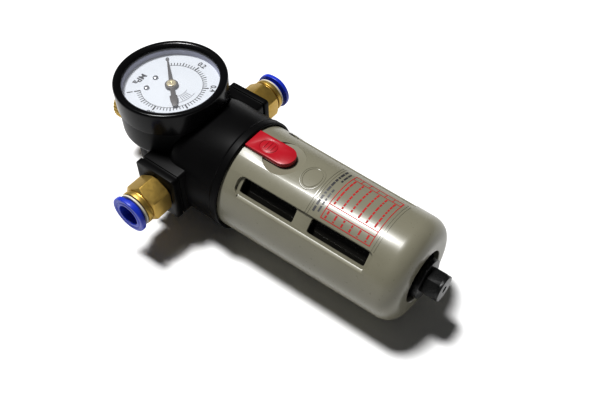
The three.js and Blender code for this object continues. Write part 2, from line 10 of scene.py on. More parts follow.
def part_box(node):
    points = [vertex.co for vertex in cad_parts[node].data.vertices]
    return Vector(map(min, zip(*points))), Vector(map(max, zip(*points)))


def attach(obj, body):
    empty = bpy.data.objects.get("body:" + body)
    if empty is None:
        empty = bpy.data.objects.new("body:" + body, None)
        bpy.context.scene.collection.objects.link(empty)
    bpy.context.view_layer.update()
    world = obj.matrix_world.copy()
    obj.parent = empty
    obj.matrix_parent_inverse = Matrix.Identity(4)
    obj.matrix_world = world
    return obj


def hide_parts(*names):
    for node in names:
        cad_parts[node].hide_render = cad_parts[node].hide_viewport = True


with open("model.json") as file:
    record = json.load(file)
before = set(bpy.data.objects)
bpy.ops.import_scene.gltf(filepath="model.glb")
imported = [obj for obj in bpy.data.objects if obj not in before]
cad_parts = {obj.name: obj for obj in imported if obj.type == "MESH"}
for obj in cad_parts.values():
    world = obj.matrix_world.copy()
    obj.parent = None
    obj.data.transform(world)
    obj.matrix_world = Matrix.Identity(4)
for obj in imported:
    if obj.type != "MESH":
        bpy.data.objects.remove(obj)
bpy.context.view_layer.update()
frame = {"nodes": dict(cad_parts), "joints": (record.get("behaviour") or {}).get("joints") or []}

# All shapes are drawn in millimetres around the crossing of the port axis and the bowl axis.
MM = 0.001
JOINTS = {j["name"]: j for j in frame["joints"]}
ORIGIN = Vector((0, 0, JOINTS["drain_turn"]["pos_m"][2]))
GAUGE_X = JOINTS["pointer_turn"]["pos_m"][0] / MM


def cad(node):
    """A CAD node's lowest and highest corner in these millimetres."""
    low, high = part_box(node)
    return (low - ORIGIN) / MM, (high - ORIGIN) / MM


BODY_LOW, BODY_HIGH = cad("body")
PORT_Y = BODY_HIGH.y
PAD_Z = BODY_LOW.z


# ---------------------------------------------------------------- node materials
DRIFT_SCALE = 90


def new_material(name, color, rough, metal=0.0, alpha=1.0, gloss=0.5):
    material = bpy.data.materials.new(name)
    material.use_nodes = True
    tree = material.node_tree
    shader = tree.nodes["Principled BSDF"]
    shader.inputs["Base Color"].default_value = (*color, 1)
    shader.inputs["Roughness"].default_value = rough
    shader.inputs["Metallic"].default_value = metal
    shader.inputs["Alpha"].default_value = alpha
    shader.inputs["Specular IOR Level"].default_value = gloss
    return material, tree, shader


def noise(tree, scale, detail=4.0, rough=0.55):
    place = tree.nodes.new("ShaderNodeTexCoord")
    texture = tree.nodes.new("ShaderNodeTexNoise")
    texture.inputs["Scale"].default_value = scale
    texture.inputs["Detail"].default_value = detail
    texture.inputs["Roughness"].default_value = rough
    tree.links.new(place.outputs["Object"], texture.inputs["Vector"])
    return texture.outputs["Fac"]


def remap(tree, value, low, high):
    node = tree.nodes.new("ShaderNodeMapRange")
    node.inputs["From Min"].default_value = 0.3
    node.inputs["From Max"].default_value = 0.7
    node.inputs["To Min"].default_value = low
    node.inputs["To Max"].default_value = high
    tree.links.new(value, node.inputs["Value"])
    return node.outputs["Result"]


def tint(tree, value, first, second):
    node = tree.nodes.new("ShaderNodeMix")
    node.data_type = "RGBA"
    node.inputs["A"].default_value = (*first, 1)
    node.inputs["B"].default_value = (*second, 1)
    tree.links.new(value, node.inputs["Factor"])
    return node.outputs["Result"]


def bump(tree, shader, value, strength, distance):
    node = tree.nodes.new("ShaderNodeBump")
    node.inputs["Strength"].default_value = strength
    node.inputs["Distance"].default_value = distance
    tree.links.new(value, node.inputs["Height"])
    tree.links.new(node.outputs["Normal"], shader.inputs["Normal"])


def finish_of(name, colors, roughs, grain, strength, distance=0.00004, **more):
    """A material whose colour drifts slowly between two, and whose fine grain sets roughness and relief."""
    material, tree, shader = new_material(name, colors[0], roughs[0], **more)
    slow = noise(tree, DRIFT_SCALE, 3)
    fine = noise(tree, grain, 5, 0.6)
    tree.links.new(tint(tree, remap(tree, slow, 0, 1), *colors), shader.inputs["Base Color"])
    tree.links.new(remap(tree, fine, *roughs), shader.inputs["Roughness"])
    bump(tree, shader, fine, strength, distance)
    return material


FINISHES = {
    "housing": finish_of(
        "black_satin", ((0.0035, 0.0034, 0.0036), (0.005, 0.0049, 0.0051)), (0.34, 0.44),
        grain=2200, strength=0.10, distance=0.00002, gloss=0.08),
    "case": finish_of(
        "black_case", ((0.0055, 0.0056, 0.006), (0.0078, 0.0079, 0.0084)), (0.3, 0.38),
        grain=1800, strength=0.06, distance=0.00002, gloss=0.12),
    "bezel": finish_of(
        "black_gloss", ((0.004, 0.004, 0.0045), (0.006, 0.006, 0.0065)), (0.16, 0.22),
        grain=1200, strength=0.03, distance=0.00002, gloss=0.2),
    "plastic": finish_of(
        "black_nylon", ((0.008, 0.008, 0.0083), (0.013, 0.013, 0.013)), (0.24, 0.36),
        grain=2200, strength=0.12, distance=0.00002, gloss=0.3),
    "guard": finish_of(
        "guard_plastic", ((0.208, 0.198, 0.148), (0.220, 0.210, 0.158)), (0.27, 0.31),
        grain=900, strength=0.02, distance=0.00001, gloss=0.5),
    "latch": finish_of(
        "latch_plastic", ((0.38, 0.007, 0.018), (0.43, 0.010, 0.024)), (0.3, 0.38),
        grain=1600, strength=0.05, distance=0.00002),
    "blue": finish_of(
        "collar_plastic", ((0.014, 0.040, 0.46), (0.02, 0.055, 0.56)), (0.28, 0.38),
        grain=1500, strength=0.1),
    "brass": finish_of(
        "brass_turned", ((0.46, 0.31, 0.075), (0.58, 0.41, 0.12)), (0.36, 0.48),
        grain=1100, strength=0.12, distance=0.00003, metal=0.85),
    "brass_inner": finish_of(
        "brass_cast", ((0.44, 0.31, 0.12), (0.56, 0.40, 0.16)), (0.3, 0.5),
        grain=900, strength=0.2, metal=1.0),
    "steel": finish_of(
        "zinc_steel", ((0.44, 0.45, 0.47), (0.58, 0.58, 0.6)), (0.22, 0.38),
        grain=1500, strength=0.12, metal=1.0),
    "rubber": finish_of(
        "nitrile", ((0.012, 0.012, 0.012), (0.02, 0.02, 0.02)), (0.6, 0.8),
        grain=1800, strength=0.3),
    "bronze": finish_of(
        "sintered_bronze", ((0.05, 0.035, 0.022), (0.08, 0.058, 0.036)), (0.5, 0.7),
        grain=3000, strength=0.5, distance=0.00006),
    "pale": finish_of(
        "pale_resin", ((0.60, 0.56, 0.44), (0.68, 0.64, 0.52)), (0.3, 0.42),
        grain=1200, strength=0.1),
    "dial": finish_of(
        "dial_enamel", ((0.61, 0.635, 0.67), (0.635, 0.66, 0.695)), (0.4, 0.5),
        grain=1400, strength=0.04),
    "wall": finish_of(
        "dial_wall", ((0.26, 0.27, 0.40), (0.31, 0.32, 0.45)), (0.4, 0.55),
        grain=900, strength=0.08),
    "pointer": finish_of(
        "pointer_paint", ((0.045, 0.038, 0.034), (0.07, 0.06, 0.055)), (0.35, 0.5),
        grain=1500, strength=0.15),
    "cap": finish_of(
        "cap_brass", ((0.72, 0.62, 0.36), (0.8, 0.7, 0.45)), (0.22, 0.34),
        grain=1500, strength=0.1, metal=0.7),
    "ink": finish_of(
        "ink_black", ((0.02, 0.02, 0.024), (0.04, 0.04, 0.045)), (0.4, 0.6),
        grain=4000, strength=0.1),
    "red_ink": finish_of(
        "ink_red", ((0.40, 0.018, 0.02), (0.46, 0.03, 0.03)), (0.5, 0.6),
        grain=4000, strength=0.1, gloss=0.15),
    "grey_ink": finish_of(
        "ink_grey", ((0.12, 0.125, 0.14), (0.18, 0.185, 0.2)), (0.4, 0.6),
        grain=4000, strength=0.1, gloss=0.2),
    "lens": finish_of(
        "lens_acrylic", ((0.9, 0.92, 0.97), (0.93, 0.95, 1.0)), (0.03, 0.05),
        grain=300, strength=0.01, alpha=0.06),
    # The bowl's near-black tint is painted shade: it stands in for the dark inside of the guard seen
    # through the windows.
    "bowl": finish_of(
        "bowl_painted_shade", ((0.014, 0.0135, 0.011), (0.022, 0.021, 0.018)), (0.06, 0.1),
        grain=240, strength=0.02, distance=0.00002, alpha=0.72),
}


# ---------------------------------------------------------------- mesh helpers
CORNER_WEIGHT = 0.84  # pull of a rounded corner towards the sharp one


def along_x(a, u, v):
    return Vector((a, u, v))


def across(a, u, v):
    """Outlines drawn in XZ, carried along Y."""
    return Vector((u, a, v))


def upright(a, u, v):
    """Outlines drawn in plan, carried along Z."""
    return Vector((u, v, a))


def beside(y, z):
    """Places points around a line along X through (y, z)."""
    return lambda a, u, v: Vector((a, y + u, z + v))


def standing(x, y):
    """Places points around a line along Z through (x, y)."""
    return lambda a, u, v: Vector((x + u, y + v, a))


def along_z(a, u, v):
    """Places points around the gauge's own axis."""
    return Vector((GAUGE_X + u, v, a))


def along_y(side):
    """Places points of a fitting: a is the distance out from the port face."""
    return lambda a, u, v: Vector((u, side * (PORT_Y + a), v))


def fillet(points, steps=5):
    """A closed outline of (a, b) or (a, b, size) points, each with its corner rounded by that size."""
    out = []
    for i, point in enumerate(points):
        here = Vector(point[:2])
        size = point[2] if len(point) > 2 else 0
        if size <= 0:
            out.append(here)
            continue
        before = (Vector(points[i - 1][:2]) - here).normalized() * size
        after = (Vector(points[(i + 1) % len(points)][:2]) - here).normalized() * size
        for k in range(steps + 1):
            t = k / steps
            base = (1 - t) ** 2 + 2 * CORNER_WEIGHT * t * (1 - t) + t * t
            out.append(here + (before * (1 - t) ** 2 + after * t * t) / base)
    return out


def lathe(points, place=along_x, sides=96, steps=5, wobble=None):
    """A closed outline of (a, radius) turned once round."""
    outline = fillet(points, steps)
    bm = bmesh.new()
    rings = []
    for a, r in outline:
        if r < 1e-6:
            rings.append([bm.verts.new(place(a, 0, 0))] * sides)
            continue
        ring = []
        for i in range(sides):
            t = 2 * math.pi * i / sides
            k = r if wobble is None else r + wobble(a, r, t)
            ring.append(bm.verts.new(place(a, k * math.sin(t), k * math.cos(t))))
        rings.append(ring)
    for first, second in zip(rings, rings[1:] + rings[:1]):
        for i in range(sides):
            corners = [first[i], first[i - 1], second[i - 1], second[i]]
            unique = list(dict.fromkeys(corners))
            if len(unique) > 2:
                bm.faces.new(unique)
    bmesh.ops.recalc_face_normals(bm, faces=bm.faces)
    return bm


def prism(outline, a0, a1, place):
    """A closed outline of (u, v) points carried from a0 to a1."""
    bm = bmesh.new()
    ends = [[bm.verts.new(place(a, u, v)) for u, v in outline] for a in (a0, a1)]
    count = len(outline)
    for i in range(count):
        bm.faces.new([ends[0][i], ends[0][i - 1], ends[1][i - 1], ends[1][i]])
    bm.faces.new(ends[0])
    bm.faces.new(ends[1])
    bmesh.ops.recalc_face_normals(bm, faces=bm.faces)
    return bm


def rectangle(u0, u1, v0, v1, corner=0.0, steps=5):
    corners = [(u0, v0, corner), (u1, v0, corner), (u1, v1, corner), (u0, v1, corner)]
    return [tuple(p) for p in fillet(corners, steps)]


def rod(a0, a1, radius, place=along_x, sides=24):
    """A plain cylinder from a0 to a1."""
    return lathe([(a0, 0), (a0, radius), (a1, radius), (a1, 0)], place, sides)


def hexagon(flats, turn=0.0):
    radius = flats / 2 / math.cos(math.pi / 6)
    angles = [turn + 2 * math.pi * i / 6 for i in range(6)]
    return [(radius * math.sin(t), radius * math.cos(t)) for t in angles]


def temporary(bm):
    mesh = bpy.data.meshes.new("temporary")
    bm.to_mesh(mesh)
    bm.free()
    made = bpy.data.objects.new("temporary", mesh)
    bpy.context.scene.collection.objects.link(made)
    return made


def applied(made):
    """The object's mesh with its modifiers applied."""
    graph = bpy.context.evaluated_depsgraph_get()
    graph.update()
    mesh = bpy.data.meshes.new_from_object(made.evaluated_get(graph))
    old = made.data
    made.modifiers.clear()
    made.data = mesh
    bpy.data.meshes.remove(old)
    return made


def combine(bm, others, operation="DIFFERENCE"):
    """A shape joined with, or cut by, others."""
    made = temporary(bm)
    helpers = [temporary(other) for other in others]
    for helper in helpers:
        step = made.modifiers.new("step", "BOOLEAN")
        step.operation = operation
        step.solver = "EXACT"
        step.object = helper
    applied(made)
    for helper in helpers:
        mesh = helper.data
        bpy.data.objects.remove(helper)
        bpy.data.meshes.remove(mesh)
    out = bmesh.new()
    out.from_mesh(made.data)
    mesh = made.data
    bpy.data.objects.remove(made)
    bpy.data.meshes.remove(mesh)
    bmesh.ops.remove_doubles(out, verts=out.verts, dist=1e-4)
    return out


def piece(name, bm, material, body, replaces=(), edge=0.0, sharp=32, segments=2):
    """A finished piece, in metres, that rides on a body."""
    made = temporary(bm)
    made.name = name
    made.data.name = name
    if edge:
        step = made.modifiers.new("edge", "BEVEL")
        step.width = edge
        step.segments = segments
        step.limit_method = "ANGLE"
        step.angle_limit = math.radians(sharp)
        step.use_clamp_overlap = True
        applied(made)
        made.data.name = name
    made.data.transform(Matrix.Translation(ORIGIN) @ Matrix.Scale(MM, 4))
    for polygon in made.data.polygons:
        polygon.use_smooth = True
    made.data.set_sharp_from_angle(angle=math.radians(sharp))
    made.data.materials.append(FINISHES[material])
    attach(made, body)
    if replaces:
        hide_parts(*replaces)


def merged(shapes):
    """Several shapes in one mesh, without joining them."""
    out = bmesh.new()
    for shape in shapes:
        mesh = bpy.data.meshes.new("part")
        shape.to_mesh(mesh)
        shape.free()
        out.from_mesh(mesh)
        bpy.data.meshes.remove(mesh)
    return out


# ---------------------------------------------------------------- body casting
GAUGE_WELL = [(7, 0), (7, 20.9), (17.4, 20.9), (17.4, 21.85), (40, 21.85), (40, 0)]
HEAD_BACK, HEAD_FRONT, HEAD_RADIUS = -4, BODY_HIGH.x, 22.3
ARM_X, ARM_Z = 9.2, 10
GROOVE_BACK, GROOVE_FRONT, GROOVE_DEPTH = 3.4, 2.3, 0.7
PORT_BORE, PORT_DEPTH = 6.4, 16


def arm_block():
    """Both port arms in one bar, with a groove round each end behind its face."""
    block = prism(rectangle(-ARM_X, ARM_X, -ARM_Z, ARM_Z, 1.3), -PORT_Y, PORT_Y, across)
    grooves = []
    for side in (-1, 1):
        outer = rectangle(-ARM_X - 1, ARM_X + 1, -ARM_Z - 1, ARM_Z + 1)
        x, z = ARM_X - GROOVE_DEPTH, ARM_Z - GROOVE_DEPTH
        inner = rectangle(-x, x, -z, z, 0.8)
        ring = prism(outer, side * (PORT_Y - GROOVE_BACK), side * (PORT_Y - GROOVE_FRONT), across)
        middle = prism(inner, side * (PORT_Y - 5), side * (PORT_Y - 1), across)
        grooves.append(combine(ring, [middle]))
    return combine(block, grooves)


def body_casting():
    head = lathe([
        (HEAD_BACK, 0), (HEAD_BACK, HEAD_RADIUS, 8.6), (HEAD_FRONT - 3.2, HEAD_RADIUS - 0.35, 0.5),
        (HEAD_FRONT - 2.9, HEAD_RADIUS, 0.2), (HEAD_FRONT, HEAD_RADIUS, 0.55), (HEAD_FRONT, 21.3, 0.3),
        (19.9, 21.3), (19.9, 19.4), (17.7, 19.4), (17.7, 21.2), (14.6, 21.2),
        (14.6, 17.6), (9.8, 17.6), (9.8, 0),
    ], sides=128, steps=10)
    core = prism(rectangle(-13, 13, -13, 10.2, 1.6), -21, 2, along_x)
    pad = prism(rectangle(-20, 10, -12, 12, 2.4), PAD_Z, -2, upright)
    made = combine(head, [arm_block(), core, pad], "UNION")
    ports = [rod(-PORT_DEPTH, 1, PORT_BORE, along_y(side), 48) for side in (-1, 1)]
    well = lathe(GAUGE_WELL, along_z, 128)
    return combine(made, [*ports, well])


piece("body_shell", body_casting(), "housing", "body", ["body"], edge=0.3)


# ---------------------------------------------------------------- bonnet end
FLANGE_BACK, FLANGE_FRONT = -24.3, -21.3
BARREL_BACK, BARREL_RADIUS = -35, 8.2
SCREW_Y, SCREW_Z, SCREW_WELL = 10.4, 4.2, 2.4
THREAD = 2.7
SPRING_BORE, SPRING_BACK = 6.2, -32.8
RIBS, RIB_BACK = 12, -32.5


def bonnet_shell():
    flange = prism(rectangle(-13, 13, -12.2, 8.2, 2.5), FLANGE_BACK, FLANGE_FRONT, along_x)
    barrel = lathe([
        (-24, 0), (-24, BARREL_RADIUS), (BARREL_BACK, BARREL_RADIUS, 1.8), (BARREL_BACK, 0),
    ], sides=72)
    ribs = []
    for i in range(RIBS):
        t = 2 * math.pi * (i + 0.5) / RIBS
        corners = [(7.9, -0.08), (8.8, -0.05), (8.8, 0.05), (7.9, 0.08)]
        outline = [(r * math.sin(t + turn), r * math.cos(t + turn)) for r, turn in corners]
        ribs.append(prism(outline, RIB_BACK, -24.2, along_x))
    made = combine(flange, [barrel, *ribs], "UNION")
    wells = [rod(-40, FLANGE_BACK, SCREW_WELL, beside(y, z))
             for y in (-SCREW_Y, SCREW_Y) for z in (-SCREW_Z, SCREW_Z)]
    bore = lathe([
        (BARREL_BACK - 1, 0), (BARREL_BACK - 1, THREAD), (SPRING_BACK, THREAD), (SPRING_BACK, SPRING_BORE),
        (-20, SPRING_BORE), (-20, 0),
    ], sides=48)
    return combine(made, [*wells, bore, lathe(GAUGE_WELL, along_z, 96)])


FLUTES, FLUTE_DEPTH = 30, 0.36


def flutes(a, r, t):
    """Grooves round the knob's grip."""
    depth = FLUTE_DEPTH if r > 7 else 0
    return -depth * (0.5 + 0.5 * math.cos(FLUTES * t))


def knob():
    low, high = cad("adjusting_knob")
    radius = high.y
    return lathe([
        (low.x, 2.4), (low.x, 4.6, 0.2), (low.x + 0.6, 5.1, 0.2), (low.x, radius - 1.2, 0.3),
        (low.x + 0.9, radius, 0.3), (high.x - 0.9, radius, 0.3), (high.x, radius - 1, 0.3), (high.x, 2.4),
    ], sides=240, wobble=flutes)


NUT_FLATS = 11


def lock_nut():
    low, high = cad("lock_nut")
    nut = prism(hexagon(NUT_FLATS), low.x, high.x, along_x)
    return combine(nut, [rod(low.x - 1, high.x + 1, THREAD, sides=32)])


def bonnet_screw(low, high):
    """A pan-head screw with a cross in its head."""
    middle = (low + high) / 2
    place = beside(middle.y, middle.z)
    body = lathe([
        (low.x, 0), (low.x, 1.7, 0.5), (low.x + 1.2, 2.0, 0.4), (low.x + 1.8, 2.0), (low.x + 1.8, 1.3),
        (high.x, 1.3), (high.x, 0),
    ], place, 32)
    half, width = 2.6, 0.3
    cross = [prism(rectangle(-half, half, -width, width), low.x - 1, low.x + 0.7, place),
             prism(rectangle(-width, width, -half, half), low.x - 1, low.x + 0.7, place)]
    return combine(body, cross)


piece("bonnet_shell", bonnet_shell(), "housing", "body", ["bonnet"], edge=0.25)
piece("knob_grip", knob(), "brass", "adjuster", ["adjusting_knob"])
piece("lock_nut_hex", lock_nut(), "brass", "body", ["lock_nut"], edge=0.3)
for number in (1, 2, 3, 4):
    node = "bonnet_screw_%d" % number
    piece("bonnet_screw_head_%d" % number, bonnet_screw(*cad(node)), "steel", "body", [node])


# ---------------------------------------------------------------- gauge
CASE_LOW, CASE_HIGH = cad("gauge_case")
BEZEL_LOW, BEZEL_HIGH = cad("gauge_bezel")
BEZEL_TOP, BEZEL_RADIUS = BEZEL_HIGH.z, BEZEL_HIGH.y
OPENING = 18.1
DIAL_TOP, DIAL_RADIUS = cad("gauge_dial")[1].z, 18.9
CASE_RADIUS = CASE_HIGH.y
CASE_WALL = 1.4
LENS_LOW, LENS_HIGH = 26.35, 27.1

piece("case_shell", lathe([
    (CASE_LOW.z, 5), (CASE_LOW.z, CASE_RADIUS, 2.2), (BEZEL_LOW.z - 0.5, CASE_RADIUS, 0.2),
    (CASE_HIGH.z, CASE_RADIUS), (CASE_HIGH.z, CASE_RADIUS - CASE_WALL),
    (CASE_LOW.z + CASE_WALL, CASE_RADIUS - CASE_WALL, 2.6), (CASE_LOW.z + CASE_WALL, 5),
], along_z, 128, 8), "case", "body", ["gauge_case"])
piece("bezel_ring", lathe([
    (BEZEL_LOW.z, CASE_RADIUS + 0.2), (BEZEL_LOW.z, BEZEL_RADIUS, 0.25),
    (BEZEL_TOP - 0.1, BEZEL_RADIUS, 1.0), (BEZEL_TOP, OPENING + 1.4, 0.5),
    (BEZEL_TOP - 0.7, OPENING + 0.25, 0.35), (BEZEL_TOP - 1.2, OPENING, 0.1),
    (BEZEL_TOP - 1.35, OPENING), (BEZEL_TOP - 1.35, CASE_RADIUS + 0.2),
], along_z, 160, 8), "bezel", "body", ["gauge_bezel"])
piece("lens_pane", lathe([
    (LENS_LOW, 0), (LENS_LOW, 20.3, 0.2), (LENS_HIGH, 20.3, 0.2), (LENS_HIGH, 0),
], along_z, 96), "lens", "body", ["gauge_lens"])
piece("dial_plate", lathe([
    (DIAL_TOP - 0.5, 1.1), (DIAL_TOP - 0.5, DIAL_RADIUS), (DIAL_TOP, DIAL_RADIUS, 0.1), (DIAL_TOP, 1.1),
], along_z, 128), "dial", "body", ["gauge_dial"])
piece("dial_wall_ring", lathe([
    (DIAL_TOP + 0.02, OPENING), (26.1, 18.35), (26.1, 18.75), (DIAL_TOP + 0.02, 18.75),
], along_z, 128), "wall", "body")

INK_LOW, INK_HIGH = DIAL_TOP + 0.02, DIAL_TOP + 0.06


def dial_bar(azimuth, r0, r1, width):
    """A radial mark on the dial."""
    t = math.radians(azimuth)
    c, s = math.cos(t), math.sin(t)
    corners = [(r0, -width / 2), (r1, -width / 2), (r1, width / 2), (r0, width / 2)]
    outline = [(GAUGE_X + a * c - b * s, a * s + b * c) for a, b in corners]
    return prism(outline, INK_LOW, INK_HIGH, upright)


def dial_arc(r, width, start, stop, steps=40):
    outer = [(r + width / 2, start + (stop - start) * i / steps) for i in range(steps + 1)]
    inner = [(r - width / 2, start + (stop - start) * i / steps) for i in range(steps, -1, -1)]
    outline = [(GAUGE_X + a * math.cos(math.radians(t)), a * math.sin(math.radians(t)))
               for a, t in outer + inner]
    return prism(outline, INK_LOW, INK_HIGH, upright)


# The scale runs clockwise from zero, with fifty small steps.
SCALE_ZERO, SCALE_SWEEP, SCALE_STEPS, SCALE_RADIUS = 140, 270, 50, 11.6
LONG_TIP, MIDDLE_TIP, SHORT_TIP = 13.9, 13.4, 13.1


def scale_mark(step):
    tip, width = SHORT_TIP, 0.3
    if step % 10 == 0:
        tip, width = LONG_TIP, 0.55
    elif step % 5 == 0:
        tip, width = MIDDLE_TIP, 0.36
    return dial_bar(SCALE_ZERO - SCALE_SWEEP * step / SCALE_STEPS, SCALE_RADIUS, tip, width)


marks = [scale_mark(step) for step in range(SCALE_STEPS + 1)]
marks.append(dial_arc(SCALE_RADIUS, 0.17, SCALE_ZERO, SCALE_ZERO - SCALE_SWEEP))
piece("dial_marks", merged(marks), "ink", "body")


NUMBERS = ["0", "0.2", "0.4", "0.6", "0.8", "1"]
NUMBER_SIZE, NUMBER_RADIUS = 2.9, 15.4
LETTER_HALF, LETTER_SWELL = 0.02, 0.022


def lettering(name, text, size, azimuth, radius, turn):
    """Text on the dial, centred at a radius and azimuth and turned about its own middle."""
    curve = bpy.data.curves.new(name, "FONT")
    curve.body = text
    curve.size = size * MM
    curve.align_x = "CENTER"
    curve.align_y = "CENTER"
    curve.extrude = LETTER_HALF * MM
    curve.offset = LETTER_SWELL * size * MM
    made = bpy.data.objects.new(name, curve)
    bpy.context.scene.collection.objects.link(made)
    t = math.radians(azimuth)
    spot = Vector((GAUGE_X + radius * math.cos(t), radius * math.sin(t), DIAL_TOP + 0.05)) * MM + ORIGIN
    made.matrix_world = Matrix.Translation(spot) @ Matrix.Rotation(math.radians(turn), 4, "Z")
    bpy.context.view_layer.update()
    graph = bpy.context.evaluated_depsgraph_get()
    mesh = bpy.data.meshes.new_from_object(made.evaluated_get(graph))
    mesh.transform(made.matrix_world)
    bpy.data.objects.remove(made)
    solid = bpy.data.objects.new(name, mesh)
    bpy.context.scene.collection.objects.link(solid)
    mesh.materials.clear()
    mesh.materials.append(FINISHES["ink"])
    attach(solid, "body")


for value, text in enumerate(NUMBERS):
    azimuth = SCALE_ZERO - SCALE_SWEEP * value / 5
    lettering("dial_number_%d" % value, text, NUMBER_SIZE, azimuth, NUMBER_RADIUS, azimuth - 90)
lettering("dial_unit", "MPa", 3.5, 200, 13.1, -85)

# A plain mark of generic lines under the hub.
seal = [dial_bar(-8 + k * 6, 6.6, 9.2, 0.2) for k in range(-2, 3)]
seal = [dial_arc(9.6, 0.16, -30, 14, 10), dial_arc(6.2, 0.16, -34, 18, 10)] + seal
piece("dial_seal", merged(seal), "grey_ink", "body")


POINTER_LOW, POINTER_HIGH = 24.9, 25.2


def pointer():
    """The needle, from its tip to the wide end of its tail."""
    t = math.radians(SCALE_ZERO)
    c, s = math.cos(t), math.sin(t)
    half = [(14.6, 0.18), (1.5, 0.8), (-6.2, 0.85), (-6.6, 1.45, 0.3), (-9.6, 1.3, 0.3),
            (-10.0, 0.95), (-12.0, 1.1, 0.8)]
    mirrored = [(a, -b, *size) for a, b, *size in half]
    outline = fillet([mirrored[0], *half, *mirrored[:0:-1]], 4)
    turned = [(GAUGE_X + a * c - b * s, a * s + b * c) for a, b in outline]
    return prism(turned, POINTER_LOW, POINTER_HIGH, upright)


def dial_screw(low, high):
    """A small screw with a domed, slotted head."""
    middle, top = (low + high) / 2, high.z
    place = standing(middle.x, middle.y)
    body = lathe([
        (low.z, 0), (low.z, 0.5), (top - 0.5, 0.5), (top - 0.5, 1.15, 0.1), (top + 0.15, 0.95, 0.4),
        (top + 0.25, 0),
    ], place, 32)
    return combine(body, [prism(rectangle(-2, 2, -0.15, 0.15), top - 0.05, top + 1, place)])


hub = lathe([
    (22.4, 0), (22.4, 0.7), (24.3, 0.7), (24.3, 2.5, 0.2), (25.25, 2.5, 0.35), (25.25, 0),
], along_z, 48)
piece("pointer_needle", merged([pointer(), hub]), "pointer", "pointer", ["gauge_pointer"],
      edge=0.06)
piece("pointer_button", lathe([
    (25.28, 0), (25.28, 1.9, 0.1), (25.75, 1.75, 0.25), (25.8, 0.55, 0.1), (25.6, 0.4, 0.1), (25.6, 0),
], along_z, 40), "cap", "pointer", ["pointer_cap"])
for number in (1, 2):
    node = "dial_screw_%d" % number
    piece("dial_screw_head_%d" % number, dial_screw(*cad(node)), "steel", "body", [node])


# ---------------------------------------------------------------- bowl guard
GUARD_FRONT = cad("bowl_guard")[1].x
STEP_X, ROOT, TIP, WALL = 20.2, 21.0, 19.75, 2.0
RECESS_X, RECESS_ANGLE, RECESS_DEPTH = (29.5, 85.5), 48.75, 1.2
WINDOW_ANGLE, WINDOW_HALF = 46.9, 2.75
POCKET_FLOOR, DISH_FLOOR = 19.5, 19.2
DISH_X, DISH_RADIUS = 38.8, 7.7
OUTSIDE = 30
LUG_INNER, LUG_OUTER, LUG_BACK, LUG_FRONT = 18.4, 20.9, 15, 17.4
WINDOWS = [(31.2, 54.2), (60.4, 83.6)]


def guard_radius(x):
    return ROOT + (TIP - ROOT) * (x - STEP_X) / (GUARD_FRONT - STEP_X)


def turned_to(degrees, place=upright):
    """Places plan outlines and turns them about the bowl axis."""
    turn = Matrix.Rotation(math.radians(degrees), 3, "X")
    return lambda a, u, v: turn @ place(a, u, v)


def lug(place, half=14, steps=7):
    """A block of a ring, half degrees to each side of the top."""
    angles = [math.radians(-half + 2 * half * i / steps) for i in range(steps + 1)]
    outline = [(LUG_OUTER * math.sin(t), LUG_OUTER * math.cos(t)) for t in angles]
    outline += [(LUG_INNER * math.sin(t), LUG_INNER * math.cos(t)) for t in reversed(angles)]
    return prism(outline, LUG_BACK, LUG_FRONT, place)


def flank_cutters(side):
    """The recess on one flank, the slope below it and its windows."""
    place = turned_to(side * RECESS_ANGLE)

    # The floor of the recess keeps its depth below the tapered surface.
    def sunk(a, u, v):
        return place(a + guard_radius(u) - ROOT, u, v)

    floor = ROOT - RECESS_DEPTH
    low, high = sorted((-side * 3.1, side * 3.9))
    slope = [(-side * 2.5, floor), (-side * 5.0, ROOT - 0.1),
             (-side * 5.0, OUTSIDE), (-side * 2.5, OUTSIDE)]
    cutters = [
        prism(rectangle(*RECESS_X, low, high, 2.6, 8), floor, OUTSIDE, sunk),
        prism(slope, RECESS_X[0] + 1.8, RECESS_X[1] - 1.4, lambda a, u, v: sunk(v, a, u)),
    ]
    for x0, x1 in WINDOWS:
        outline = rectangle(x0, x1, -WINDOW_HALF, WINDOW_HALF, 0.9)
        cutters.append(prism(outline, 12, OUTSIDE, turned_to(side * WINDOW_ANGLE)))
    return cutters


def guard_shell():
    shell = lathe([
        (14.8, 16.6), (14.8, 19, 0.3), (STEP_X, 19, 0.2), (STEP_X, ROOT, 0.4), (GUARD_FRONT, TIP, 6.9),
        (GUARD_FRONT, 10, 0.5), (GUARD_FRONT - 2, 10, 0.3), (GUARD_FRONT - 2, TIP - WALL, 4.8),
        (24.2, ROOT - WALL), (21.2, 16.6),
    ], sides=144, steps=12)
    lugs = [lug(turned_to(90 * k, along_x)) for k in range(4)]
    stop = prism(rectangle(-2, 2, 16.7, 19.6), 47.2, 48.4, along_x)
    shell = combine(shell, lugs + [stop], "UNION")
    circle = [(DISH_X + DISH_RADIUS * math.cos(t), DISH_RADIUS * math.sin(t))
              for t in [2 * math.pi * i / 64 for i in range(64)]]
    latch_cutters = [
        prism(rectangle(28.4, 41.5, -2.9, 2.9), 15, OUTSIDE, upright),
        prism(rectangle(22.1, 38.8, -4.65, 4.65), POCKET_FLOOR, OUTSIDE, upright),
        prism(circle, DISH_FLOOR, OUTSIDE, upright),
    ]
    return combine(shell, flank_cutters(-1) + flank_cutters(1) + latch_cutters)


piece("guard_shell", guard_shell(), "guard", "guard", ["bowl_guard"],
      edge=0.32, sharp=30, segments=3)


PATCH_DEGREES, PATCH_STEP = 2.5, 3


